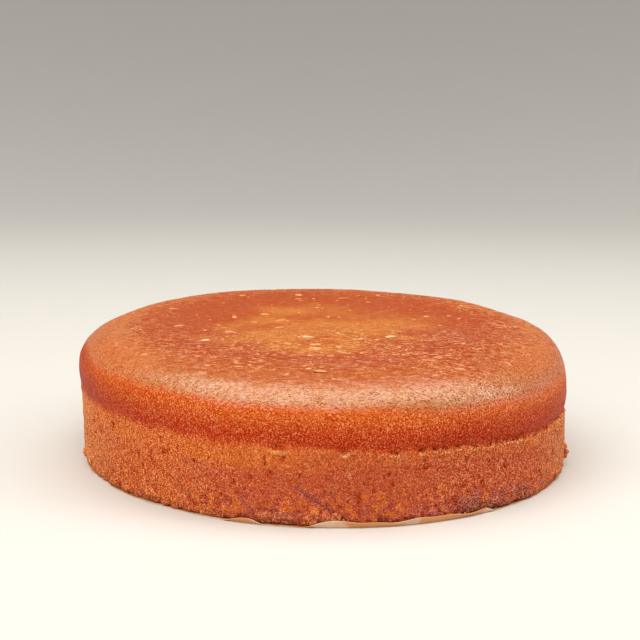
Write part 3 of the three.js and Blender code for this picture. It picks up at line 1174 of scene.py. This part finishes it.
class Crust:
    """The points of the even cake, and how the crust is at each of them."""

    def __init__(self, form, outline, distance, bearing):
        self.form = form
        self.outline = outline
        self.distance = distance
        self.bearing = bearing
        _, self.height = outline.at(distance)
        self.even = self.moved(distance, bearing)
        self.degrees = np.degrees(centred(bearing))
        self.aside = np.abs(self.degrees)
        self.left = window(-self.degrees, *LEFT_PART)
        self.seen = 1 - smooth_step(self.aside, *BACK)
        self.healed = 1 - smooth_step(np.abs(self.degrees - HEALED_MIDDLE), *HEALED_REACH)
        self.front = smooth_step(-self.even[:, 1], *FRONT_BAND)
        self.flat = smooth_step(self.height, FLAT_FROM, form.height)
        self.foot = 1 - smooth_step(self.height, *FOOT_BAND)
        self.fine = lumps(self.even, FINE_LUMPS)
        self.ragged = lumps(self.even, RAGGED_SEAM)
        below = form.seam_height - lerp(*CHANGE_BELOW, self.healed)
        above = form.seam_height + lerp(*CHANGE_ABOVE, self.healed)
        self.side = 1 - smooth_step(self.height + self.ragged, below, above)
        self.knobs = self.side * lumps(self.even, KNOB_LUMPS) * (1 - smooth_step(self.height, *KNOB_BAND))
        notches = lumps(self.even, NOTCH_LUMPS, NOTCH_STRETCH)
        self.notches = self.foot * smooth_step(notches, *NOTCHED)
        self.folds = [self.fold(start, end, width) for start, end, width, _ in FOLDS]
        self.clots = self.clot_height()
        self.hollow, self.pit_depth = self.pits()
        self.torn, self.ledges = self.tears()

    def moved(self, distance, bearing):
        """Points of the even cake at other distances along its outline, or at other bearings."""
        return uneven_points(self.form, *self.outline.at(distance), bearing)

    def normals(self):
        """Outward directions of the even surface."""
        step = 0.3 * MM
        turn = 0.004
        ahead = self.moved(np.minimum(self.distance + step, self.outline.length), self.bearing)
        behind = self.moved(np.maximum(self.distance - step, 0), self.bearing)
        right = self.moved(self.distance, self.bearing + turn)
        left = self.moved(self.distance, self.bearing - turn)
        facing = np.cross(right - left, ahead - behind)
        facing[0] = (0, 0, -1)
        facing[-1] = (0, 0, 1)
        return facing / np.maximum(np.linalg.norm(facing, axis=1, keepdims=True), 1e-12)

    def relief(self):
        """How far the crust stands out from the even cake."""
        wrinkles = self.flat * self.front * lumps(self.even, WRINKLES, WRINKLE_STRETCH)
        skin = lumps(self.even, SKIN_LUMPS) + wrinkles
        relief = lerp(skin, lumps(self.even, SIDE_LUMPS), self.side)
        relief = relief + HEALED_FILL * self.healed * bell(self.height - self.form.seam_height, SEAM_WIDTH)
        relief = relief + self.foot * lumps(self.even, FOOT_LUMPS) + self.clots + KNOB_HEIGHT * self.knobs
        relief = relief - self.pit_depth - TEAR_DEPTH * self.torn + LEDGE_HEIGHT * self.ledges
        relief = relief - NOTCH_DEPTH * self.notches
        for pressed, (_, _, _, depth) in zip(self.folds, FOLDS):
            relief = relief - depth * pressed
        return relief * smooth_step(self.distance, self.outline.foot - BASE_FADE, self.outline.foot)

    def attributes(self):
        """What the finish needs to know at each point."""
        crown = self.outline.length - self.outline.seam
        share = np.clip((self.distance - self.outline.seam) / crown, 0, 1)
        shift = self.zone_shift(share)
        over = share + COLOUR_SHIFT * shift
        ends = smooth_step(np.abs(self.degrees - EDGE_MIDDLE), *EDGE_REACH)
        # A painted sheen on the crumb at both sides
        painted_sheen = PAINTED_SHEEN_SHARE * self.seen * smooth_step(self.aside, *PAINTED_SHEEN_SIDES)
        return {
            "crumb": self.side,
            "knob": self.knobs,
            "dim": self.dim(over, shift),
            "grit": self.grit(),
            "hollow": np.maximum(self.hollow, self.torn),
            "ledge": np.clip(self.ledges + CLOT_PALENESS * self.clots + painted_sheen, 0, 1),
            "fold": np.clip(sum(self.folds) + self.bruise(), 0, 1),
            "over": over,
            "gloss": self.shine(share, shift),
            # Painted highlight tint along the shoulder in front, and painted sheen on it at both sides
            "edge": (1 - ends) * window(over, *EDGE_ZONE),
            "brim": self.seen * ends * window(over, *BRIM_ZONE),
            "rise": self.height / self.form.height,
            "golden": self.golden(),
            # Damp crumb, with painted shade in the notches
            "damp": np.clip(self.damp() + NOTCH_DAMP * self.notches, 0, 1),
            "pale": self.pale() * self.flat,
            "front": self.front,
        }

    def zone_shift(self, share):
        """How much nearer the seam the crown's zones lie: more on the right, less on the left."""
        shift = RIGHT_SHIFT * window(self.degrees, *LOWERED_PART) + LEFT_SHIFT * self.left
        shift = shift + SIDES_SHIFT * self.seen * smooth_step(self.aside, *RAISED_SIDES)
        return shift * window(share, *SHIFTED_ZONE)

    def shine(self, share, shift):
        """How glossy the skin is: most along the shoulder, and less on the top and towards the back."""
        uneven = lumps(self.even, SHINE_LUMPS)
        shine = smooth_step(share + shift + GLOSS_RAGS * uneven, *GLOSSY_ZONE) * (1 + GLOSS_UNEVEN * uneven)
        shine = shine * (1 - TOP_DULLING * smooth_step(share, *DULL_ZONE))
        return shine * (1 - BACK_DULLING * smooth_step(self.aside, *DULL_SIDES))

    def dim(self, over, shift):
        """How much painted shade darkens the skin above the seam: low on the right, and higher up at both
        sides.
        """
        right = smooth_step(self.degrees, *PAINTED_SHADE_RIGHT) * (1 - smooth_step(over, *PAINTED_SHADE_LOW_ZONE))
        sides = PAINTED_SHADE_SIDES_SHARE * smooth_step(self.aside, *PAINTED_SHADE_SIDES)
        sides = sides + PAINTED_SHADE_LEFT_SHARE * smooth_step(-self.degrees, *PAINTED_SHADE_LEFT)
        return self.seen * np.maximum(right, sides * (1 - smooth_step(over + shift, *PAINTED_SHADE_WIDE_ZONE)))

    def grit(self):
        """How strongly the grain shows as painted glints and painted shade: more at both sides, and on the
        right of the crown.
        """
        aside = smooth_step(self.aside, *GRITTY_SIDES)
        skin = lerp(*SKIN_GRIT, aside) + LIVELY_GRIT * window(self.degrees, *LIVELY_PART)
        return lerp(skin, lerp(*SIDE_GRIT, aside), self.side) + lumps(self.even, GRIT_LUMPS)

    def golden(self):
        """How golden the crumb is: on the left, and just below the seam."""
        band = lerp(*GOLDEN_BELOW_SEAM, window(self.degrees, *RIGHT_PART))
        band = band * smooth_step(self.height, *GOLDEN_BAND)
        rags = GOLDEN_RAGS_SHARE * smooth_step(self.height + self.ragged, *GOLDEN_RAGS)
        return np.maximum(np.maximum(GOLDEN_LEFT * self.left, band), rags)

    def pale(self):
        """How pale the top is: most in one patch left of its middle, with an uneven edge."""
        across = (self.even[:, 0] - PALE_PLACE[0]) / PALE_REACH[0]
        along = (self.even[:, 1] - PALE_PLACE[1]) / PALE_REACH[1]
        return 1 - smooth_step(np.hypot(across, along) + lumps(self.even, PALE_LUMPS), *PALE_FADE)

    def patch(self, degrees, width):
        """1 at a bearing and 0 away from it, over a width in radians."""
        return bell(centred(self.bearing) - math.radians(degrees), width)

    def damp(self):
        """How damp the crumb is: more towards the foot in front, and in one patch on the right."""
        low = lerp(*DAMP_ROUND, self.patch(*DAMP_FRONT)) * (1 - smooth_step(self.height, *DAMP_BAND))
        right = self.patch(*DAMP_PATCH) * (1 - smooth_step(self.height, *DAMP_PATCH_BAND))
        return np.clip(DAMP_SHARE * low + right, 0, 1)

    def bruise(self):
        """How dark the damp patch on the right is, in blots along the foot."""
        blots = smooth_step(lumps(self.even, BRUISE_LUMPS), *BLOTTED)
        return BRUISE_SHARE * self.patch(*BRUISE) * blots * (1 - smooth_step(self.height, *BRUISE_BAND))

    def clot_height(self):
        """How far the crumbs that have grown to the foot stand out."""
        out = np.zeros_like(self.height)
        for place, level, size in foot_clots():
            across = centred(self.bearing - place) * self.form.foot_radius / (CLOT_WIDTH * size)
            away = np.hypot(across, (self.height - level) / size) * (1 + CLOT_RAGS * self.fine)
            out = np.maximum(out, CLOT_RELIEF * size * np.sqrt(np.clip(1 - away * away, 0, 1)))
        return out

    def pits(self):
        """A field that is over a half inside the pits of the side, and how deep they are."""
        field = np.zeros_like(self.height)
        depth = np.zeros_like(self.height)
        for place, level, wide, tall, deep in side_pits(self.form):
            across = centred(self.bearing - place) * self.form.tin_radius / wide
            away = np.hypot(across, (self.height - level) / tall) * (1 + PIT_RAGS * self.fine)
            here = np.clip(1 - away / 2, 0, 1)
            field = np.maximum(field, here)
            depth = np.maximum(depth, deep * smooth_step(here, *PIT_WALL))
        return field, depth

    def tears(self):
        """Where the seam is torn open, mostly on the right and behind, and the pale ledges below it."""
        right = TEAR_RIGHT * window(self.degrees, *TORN_PART)
        behind = smooth_step(self.aside, *TORN_BACK) * (0.5 + 0.5 * np.sin(5 * self.bearing + 1))
        strength = lerp(*TEAR_STRENGTH, np.maximum(right, behind))
        above = self.height - self.form.seam_height - lumps(self.even, TEAR_WANDER, UPRIGHT)
        gaps = smooth_step(lumps(self.even, TEAR_LUMPS, TEAR_STRETCH), *TORN_OPEN)
        shelves = smooth_step(lumps(self.even, LEDGE_LUMPS, TEAR_STRETCH), *SHELVED)
        tears = bell(above + TEAR_LINE[0], TEAR_LINE[1]) * gaps * strength
        ledges = bell(above + LEDGE_LINE[0], LEDGE_LINE[1]) * shelves * lerp(*LEDGE_STRENGTH, strength)
        ragged = 1 + TEAR_RAGS * self.fine
        for place, wide, tall in front_tears():
            across = centred(self.bearing - math.radians(place)) * self.form.tin_radius / wide
            inside = np.hypot(across, (above + tall) / tall) * ragged
            down = (above + LEDGE_DROP * tall) / (LEDGE_TALLNESS * tall)
            beneath = np.hypot(across / LEDGE_WIDTH, down) * ragged
            tears = np.maximum(tears, 1 - smooth_step(inside, *TEAR_WALL))
            ledges = np.maximum(ledges, 1 - smooth_step(beneath, *LEDGE_WALL))
        return tears, ledges * (1 - tears)

    def fold(self, start, end, width):
        """1 along a fold's line and 0 away from it."""
        radius = self.form.foot_radius
        place = np.stack([centred(self.bearing) * radius, self.height], axis=-1)
        first = np.array([math.radians(start[0]) * radius, start[1]])
        last = np.array([math.radians(end[0]) * radius, end[1]])
        line = last - first
        share = np.clip(((place - first) @ line) / (line @ line), 0, 1)
        away = np.linalg.norm(place - first - share[:, None] * line, axis=1)
        return bell(away, width) * smooth_step(share, *FOLD_START)


class BUTTERCAKE_OT_cake(bpy.types.Operator):
    """Make the cake's body with its crust, seam, pits and folds"""

    bl_idname = "butter_cake.make_cake"
    bl_label = "Make Cake"

    def execute(self, context):
        form = context.scene.cake_form
        outline = Outline(form)
        stations = ring_stations(form, outline)
        counts = [1] + [sides for _, sides in stations] + [1]
        along = [0.0] + [distance for distance, _ in stations] + [outline.length]
        distance = np.repeat(along, counts)
        bearing = np.concatenate([np.arange(count) / count * TURN for count in counts])
        crust = Crust(form, outline, distance, bearing)
        points = crust.even + crust.normals() * crust.relief()[:, None]
        faces = joined_rings(counts)
        material = crust_finish(context.scene.crust_colours)
        piece = make_piece("cake_body", points, faces, material, crust.attributes())
        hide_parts("cake")
        return {"FINISHED"}


class BUTTERCAKE_OT_flakes(bpy.types.Operator):
    """Make the flakes of skin that stand up from the top"""

    bl_idname = "butter_cake.make_flakes"
    bl_label = "Make Skin Flakes"

    large: IntProperty(name="Large", description="Number of large flakes", default=30)
    small: IntProperty(name="Small", description="Number of small flakes", default=140)
    corners: IntProperty(name="Corners", description="Points round a flake", default=14)
    field: FloatProperty(
        name="Field", description="How far they spread, as a share of the flat top", default=1.12
    )
    crowd: FloatProperty(name="Crowd", description="How much more they crowd to the front", default=0.4)

    def execute(self, context):
        form = context.scene.cake_form
        points = []
        faces = []
        tones = []
        rims = []
        for i in range(self.large + self.small):
            if i < self.large:
                size = lerp(*LARGE_FLAKE_SIZES, chance(i, 11) ** 2)
            else:
                size = lerp(*SMALL_FLAKE_SIZES, chance(i, 11))
            faces.extend(self.plate_faces(len(points)))
            plate = self.plate(form, i, size)
            points.extend(plate)
            tones.extend([chance(i, 16)] * len(plate))
            rims.extend([0.0] + [0.4] * self.corners + [1.0] * (2 * self.corners))
        material = flake_finish(context.scene.crust_colours)
        make_piece("skin_flakes", points, faces, material, {"tone": tones, "rim": rims})
        return {"FINISHED"}

    def plate(self, form, index, size):
        """Points of one flake, a thin plate with an uneven outline and an edge that lifts."""
        aside = 2 * chance(index, 13) - 1
        bearing = math.pi * aside * abs(aside) ** self.crowd
        radius = self.field * (form.crown_radius - form.shoulder_run) * math.sqrt(chance(index, 12))
        centre = uneven_points(form, radius, top_height(form, radius), bearing)
        narrow = lerp(*FLAKE_SLIMNESS, chance(index, 14))
        heading = FLAKE_SWING * (chance(index, 15) - 0.5)
        along = np.array([math.cos(heading), math.sin(heading), 0])
        across = np.array([-math.sin(heading), math.cos(heading), 0])
        thick = FLAKE_THICKNESS + FLAKE_THICKENING * size
        found = []
        for share, lift in ((0, thick), (0.6, thick), (1, 0.4 * thick), (1, -FLAKE_SUNK)):
            for k in range(self.corners if share else 1):
                turn = k / self.corners * TURN
                way = Vector((math.cos(turn), math.sin(turn), 3.7 * index))
                reach = share * size * (1 + FLAKE_UNEVEN * noise.noise(FLAKE_LOBES * way))
                curl = FLAKE_CURL * size * math.cos(turn + index) * share * share * (lift > 0)
                place = centre + along * reach * math.cos(turn) + across * reach * narrow * math.sin(turn)
                found.append(place + np.array([0, 0, lift + curl]))
        return found

    def plate_faces(self, start):
        """Faces of a flake whose points begin at that number."""
        rows = joined_rings([1, self.corners, self.corners, self.corners])
        faces = [tuple(start + corner for corner in reversed(face)) for face in rows]
        last = start + 1 + 2 * self.corners
        faces.append(tuple(reversed(range(last, last + self.corners))))
        return faces


class BUTTERCAKE_OT_crumbs(bpy.types.Operator):
    """Make the loose crumbs that cling to the foot and the scraps at its right"""

    bl_idname = "butter_cake.make_crumbs"
    bl_label = "Make Crumbs"

    count: IntProperty(name="Count", description="Crumbs all round the foot", default=90)
    clump: IntProperty(name="Clump", description="Crumbs in the rough patch in front", default=40)

    def execute(self, context):
        form = context.scene.cake_form
        points = []
        faces = []
        for bearing, height, size in self.places():
            faces.extend(self.ball_faces(len(points)))
            points.extend(self.ball(form, bearing, height, size))
        make_piece("foot_crumbs", points, faces, crumb_finish(context.scene.crust_colours))
        return {"FINISHED"}

    def places(self):
        """Bearing, height and size of each crumb and scrap."""
        found = []
        for i in range(self.count):
            size = lerp(*CRUMB_SIZES, chance(i, 1) ** 2)
            found.append((TURN * chance(i, 2), lerp(*CRUMB_HEIGHTS, chance(i, 3) ** 2), size))
        for i in range(self.clump):
            size = lerp(*PATCH_SIZES, chance(i, 4) ** 2)
            bearing = math.radians(lerp(*PATCH_SPAN, chance(i, 5)))
            found.append((bearing, lerp(*PATCH_HEIGHTS, chance(i, 6)), size))
        for degrees, height, size in SCRAPS:
            found.append((math.radians(degrees), height, size))
        return found

    def ball(self, form, bearing, height, size):
        """Points of one crumb, a lumpy ball that is partly sunk in the side."""
        centre = side_points(form, bearing, height, -BALL_OFF * size)
        found = []
        for level, count in enumerate(BALL_RINGS):
            lift = -math.pi / 2 + math.pi * level / (len(BALL_RINGS) - 1)
            for k in range(count):
                turn = k / count * TURN
                out = math.cos(lift)
                way = Vector((out * math.cos(turn), out * math.sin(turn), math.sin(lift)))
                swell = 1 + BALL_UNEVEN * noise.noise(way * BALL_LOBES + Vector(centre) * BALL_SEEDS)
                found.append(centre + np.array(way) * size * swell)
        return found

    def ball_faces(self, start):
        """Faces of a crumb whose points begin at that number, between rings with different counts."""
        faces = []
        for lower, upper in zip(BALL_RINGS, BALL_RINGS[1:]):
            after = start + lower
            i = 0
            k = 0
            while i < lower or k < upper:
                if k >= upper or (i < lower and i * upper <= k * lower):
                    if lower > 1:
                        faces.append((start + i % lower, start + (i + 1) % lower, after + k % upper))
                    i += 1
                else:
                    if upper > 1:
                        faces.append((start + i % lower, after + (k + 1) % upper, after + k % upper))
                    k += 1
            start = after
        return faces


class BUTTERCAKE_OT_paper(bpy.types.Operator):
    """Make the disc of baking paper with its turned-up edge"""

    bl_idname = "butter_cake.make_paper"
    bl_label = "Make Baking Paper"

    sides: IntProperty(name="Sides", description="Divisions round the paper", default=480)

    def execute(self, context):
        form = context.scene.cake_form
        paper = context.scene.paper_form
        bearing = np.arange(self.sides) / self.sides * TURN
        under = self.face_rings(form, paper, bearing)
        raised = np.array([0, 0, paper.thickness])
        middle = np.zeros((1, 3))
        layers = [middle] + under + [ring + raised for ring in reversed(under)] + [middle + raised]
        faces = joined_rings([len(layer) for layer in layers])
        piece = make_piece("paper_disc", np.concatenate(layers), faces, paper_finish(paper))
        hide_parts("baking_paper")
        return {"FINISHED"}

    def face_rings(self, form, paper, bearing):
        """Rings of points on the paper's underside, from near its middle to the edge of its lip."""
        show, rise = self.lips(bearing)
        foot = side_points(form, bearing, form.base + form.foot_round)
        heading = np.arctan2(foot[:, 0], -foot[:, 1])
        edge = np.hypot(foot[:, 0], foot[:, 1])
        shares = [(share, 0) for share in PAPER_RINGS]
        shares.extend((1, k / LIP_STEPS) for k in range(LIP_STEPS + 1))
        rings = []
        for share, lip in shares:
            past = lerp(paper.strip * lip - paper.tuck, paper.show * lip, show)
            radius = share * edge if share < 1 else edge + past
            radius = radius + CRINKLE_DEPTH * lip * np.sin(CRINKLES * bearing + 4 * lip) * show
            height = lip**LIP_CURL * rise
            rings.append(np.stack([radius * np.sin(heading), -radius * np.cos(heading), height], axis=-1))
        return rings

    def lips(self, bearing):
        """How much of the edge shows at each bearing, and how high it is turned up."""
        show = np.zeros_like(bearing)
        rise = np.zeros_like(bearing)
        for middle, half, height in LIPS:
            away = np.abs(np.degrees(centred(bearing - math.radians(middle))))
            here = 1 - smooth_step(away, half - LIP_FADE, half)
            show = show + here
            rise = rise + here * height
        ripple = RISE_MEAN
        for waves, size, turn in RISE_WAVES:
            ripple = ripple + size * np.sin(waves * bearing + turn)
        return show, rise * ripple * smooth_step(show, LIP_CLEAR, 1)


class BUTTERCAKE_OT_studio(bpy.types.Operator):
    """Make the floor, the lights and the camera"""

    bl_idname = "butter_cake.make_studio"
    bl_label = "Make Studio"

    def execute(self, context):
        scene = context.scene
        studio = scene.studio_settings
        self.make_floor(studio)
        self.make_surround(scene, studio)
        self.make_light("overhead", studio.overhead, studio.warm, *OVERHEAD_LIGHT)
        self.make_light("right_side", studio.right_side, studio.warm, *RIGHT_LIGHT)
        self.make_light("front_fill", studio.fill, studio.warm, *FRONT_LIGHT)
        self.make_camera(scene, studio)
        scene.view_settings.view_transform = "Standard"
        return {"FINISHED"}

    def make_floor(self, studio):
        """A wide round floor that curves up all round, so that no far edge shows."""
        points = [(0.0, 0.0, 0.0)]
        for k in range(FLOOR_STEPS + 1):
            lift = k / FLOOR_STEPS * FLOOR_RISE
            radius = studio.floor_radius + studio.floor_curve * math.sin(lift)
            height = studio.floor_curve * (1 - math.cos(lift))
            for i in range(FLOOR_SIDES):
                turn = i / FLOOR_SIDES * TURN
                points.append((radius * math.cos(turn), radius * math.sin(turn), height))
        rings = joined_rings([1] + [FLOOR_SIDES] * (FLOOR_STEPS + 1))
        faces = [tuple(reversed(face)) for face in rings]
        floor = smooth_object("floor", points, faces, floor_finish(studio.floor))

    def make_surround(self, scene, studio):
        """Soft light from all round, brighter on both sides."""
        world = bpy.data.worlds.new("studio")
        finish = Finish(world)
        way = finish.node("TexCoord", output="Generated")
        aside = finish.node("SeparateXYZ", None, {"Vector": way}, "X")
        light = finish.blend(studio.surround, studio.glow, (aside * aside).between(*GLOW_ASIDE))
        finish.node("OutputWorld", None, {"Surface": finish.node("Background", None, {"Color": light})})
        scene.world = world

    def make_light(self, name, power, colour, size, place):
        """A broad soft light aimed at the cake, with its long side level."""
        lamp = bpy.data.lights.new(name, "AREA")
        lamp.energy = power
        lamp.color = colour
        lamp.shape = "RECTANGLE"
        lamp.size, lamp.size_y = size
        light = bpy.data.objects.new(name, lamp)
        away = Vector(place).normalized()
        level = (Vector((1, 0, 0)) - away * away.x).normalized()
        aimed = Matrix((level, away.cross(level), away)).transposed().to_4x4()
        light.matrix_world = Matrix.Translation(place) @ aimed
        bpy.context.scene.collection.objects.link(light)

    def make_camera(self, scene, studio):
        """The camera, level with the photograph's."""
        data = bpy.data.cameras.new("camera")
        data.lens = studio.lens
        data.sensor_width = 36
        data.clip_start = 0.01
        camera = bpy.data.objects.new("camera", data)
        tip = Matrix.Rotation(math.pi / 2 - studio.pitch, 4, "X")
        camera.matrix_world = Matrix.Translation(studio.eye) @ tip @ Matrix.Rotation(studio.roll, 4, "Z")
        scene.collection.objects.link(camera)
        scene.camera = camera


class BUTTERCAKE_PT_panel(bpy.types.Panel):
    """Lists the cake's pieces and their settings"""

    bl_idname = "BUTTERCAKE_PT_panel"
    bl_label = "Butter Cake"
    bl_space_type = "VIEW_3D"
    bl_region_type = "UI"
    bl_category = "Butter Cake"

    def draw(self, context):
        for operator in OPERATORS:
            self.layout.operator(operator.bl_idname)
        for name in SETTINGS:
            group = getattr(context.scene, name)
            box = self.layout.box()
            for key in group.__annotations__:
                box.prop(group, key)


OPERATORS = (
    BUTTERCAKE_OT_cake,
    BUTTERCAKE_OT_flakes,
    BUTTERCAKE_OT_crumbs,
    BUTTERCAKE_OT_paper,
    BUTTERCAKE_OT_studio,
)
SETTINGS = {
    "cake_form": CakeForm,
    "crust_colours": CrustColours,
    "paper_form": PaperForm,
    "studio_settings": StudioSettings,
}


def register():
    for cls in (*SETTINGS.values(), *OPERATORS, BUTTERCAKE_PT_panel):
        bpy.utils.register_class(cls)
    for name, cls in SETTINGS.items():
        setattr(bpy.types.Scene, name, PointerProperty(type=cls))


def unregister():
    for name in SETTINGS:
        delattr(bpy.types.Scene, name)
    for cls in (BUTTERCAKE_PT_panel, *OPERATORS, *SETTINGS.values()):
        bpy.utils.unregister_class(cls)


def main():
    register()
    bpy.ops.butter_cake.make_cake()
    bpy.ops.butter_cake.make_flakes()
    bpy.ops.butter_cake.make_crumbs()
    bpy.ops.butter_cake.make_paper()
    bpy.ops.butter_cake.make_studio()


if __name__ == "__main__":
    main()
